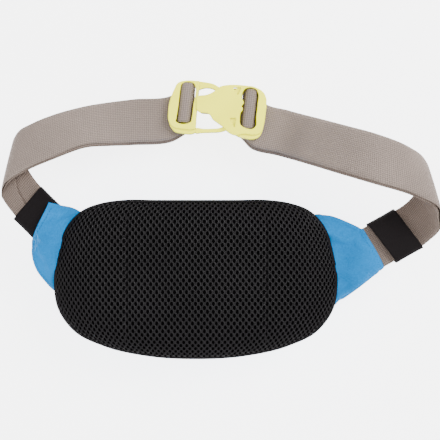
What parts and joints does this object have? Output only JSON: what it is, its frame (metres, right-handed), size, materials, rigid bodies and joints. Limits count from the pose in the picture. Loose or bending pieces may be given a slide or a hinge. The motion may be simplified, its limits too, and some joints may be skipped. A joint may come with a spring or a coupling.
{
  "type": "waist pack",
  "caption": "Waist pack with a black spacer-mesh back pad, blue hip wings, taupe webbing belt and a pale lime side-release buckle, seen from the wearer's side.",
  "frame": {"origin": "centre of the front pocket's flat face, which the pack lies on", "axes": "+Z towards the wearer's side, +Y towards the pack's top edge, +X towards the buckle's female half"},
  "size_m": [0.3749, 0.2463, 0.1028],
  "materials": {
    "shell_fabric": "matte",
    "binding": "matte",
    "lining": "matte",
    "spacer_mesh": "matte",
    "foam": "matte",
    "wing_fabric": "satin",
    "webbing": "matte",
    "elastic": "matte",
    "buckle_plastic": "satin",
    "zip_coil": "satin",
    "zip_tape": "matte",
    "zip_metal": "satin"
  },
  "bodies": {
    "pack_and_belt": {"front_pocket_panel": "shell_fabric", "front_panel": "shell_fabric", "pocket_lining": "lining", "front_piping": "binding", "top_gusset": "shell_fabric", "lower_gusset": "shell_fabric", "edge_binding": "binding", "back_liner": "lining", "back_mesh_face": "spacer_mesh", "foam_left": "foam", "foam_centre": "foam", "foam_right": "foam", "left_wing_face": "wing_fabric", "left_wing_lining": "lining", "right_wing_face": "wing_fabric", "right_wing_lining": "lining", "left_strap": "webbing", "left_strap_tail": "webbing", "right_strap": "webbing", "right_strap_tail": "webbing", "main_zip_teeth": "zip_coil", "main_zip_tapes": "zip_tape", "main_zip_stops": "zip_tape", "pocket_zip_teeth": "zip_coil", "pocket_zip_tapes": "zip_tape", "pocket_zip_stops": "zip_tape"},
    "male_half": {"buckle_male_frame": "buckle_plastic", "left_strap_loop": "webbing"},
    "prong_upper": {"buckle_prong_upper": "buckle_plastic"},
    "prong_lower": {"buckle_prong_lower": "buckle_plastic"},
    "female_half": {"buckle_female_body": "buckle_plastic", "right_strap_loop": "webbing"},
    "main_slider": {"main_zip_slider": "zip_metal"},
    "main_pull": {"main_zip_pull": "zip_metal"},
    "pocket_slider": {"pocket_zip_slider": "zip_metal"},
    "pocket_pull": {"pocket_zip_pull": "zip_metal"},
    "left_keeper_body": {"left_keeper": "elastic"},
    "right_keeper_body": {"right_keeper": "elastic"}
  },
  "joints": [
    {"name": "male_half_slide", "type": "slide", "parent": "pack_and_belt", "child": "male_half", "axis": [-0.9973, 0.0732, 0], "range_m": [0, 0.026], "deforming": ["buckle_prong_upper", "buckle_prong_lower"]},
    {"name": "prong_upper_squeeze", "type": "hinge", "parent": "male_half", "child": "prong_upper", "pos_m": [0.00349, 0.17297, 0.0436], "axis": [0, 0, -1], "range_deg": [0, 4.8], "stiffness_Nm_per_rad": 0.6},
    {"name": "prong_lower_squeeze", "type": "hinge", "parent": "male_half", "child": "prong_lower", "pos_m": [0.0002, 0.12829, 0.0436], "axis": [0, 0, -1], "range_deg": [-4.8, 0], "stiffness_Nm_per_rad": 0.6},
    {"name": "female_half_slide", "type": "slide", "parent": "pack_and_belt", "child": "female_half", "axis": [0.9973, -0.0732, 0], "range_m": [0, 0.014], "deforming": ["buckle_prong_upper", "buckle_prong_lower"]},
    {"name": "main_zip_travel", "type": "slide", "parent": "pack_and_belt", "child": "main_slider", "axis": [-1, 0, 0], "range_m": [0, 0.102]},
    {"name": "main_pull_swing", "type": "hinge", "parent": "main_slider", "child": "main_pull", "pos_m": [0.048, 0.0665, 0.031], "axis": [0, 0, 1], "range_deg": [-5, 150]},
    {"name": "pocket_zip_travel", "type": "slide", "parent": "pack_and_belt", "child": "pocket_slider", "axis": [1, 0, 0], "range_m": [0, 0.104]},
    {"name": "pocket_pull_swing", "type": "hinge", "parent": "pocket_slider", "child": "pocket_pull", "pos_m": [-0.05, 0.052, 0.0072], "axis": [0, 1, 0], "range_deg": [-5, 150]},
    {"name": "left_keeper_travel", "type": "slide", "parent": "pack_and_belt", "child": "left_keeper_body", "axis": [-0.6916, 0.7222, 0], "range_m": [0, 0.005]},
    {"name": "right_keeper_travel", "type": "slide", "parent": "pack_and_belt", "child": "right_keeper_body", "axis": [0.8709, 0.4915, 0], "range_m": [0, 0.006]}
  ],
  "couplings": [
    {"joint": "prong_lower_squeeze", "follows": "prong_upper_squeeze", "ratio": -1}
  ]
}
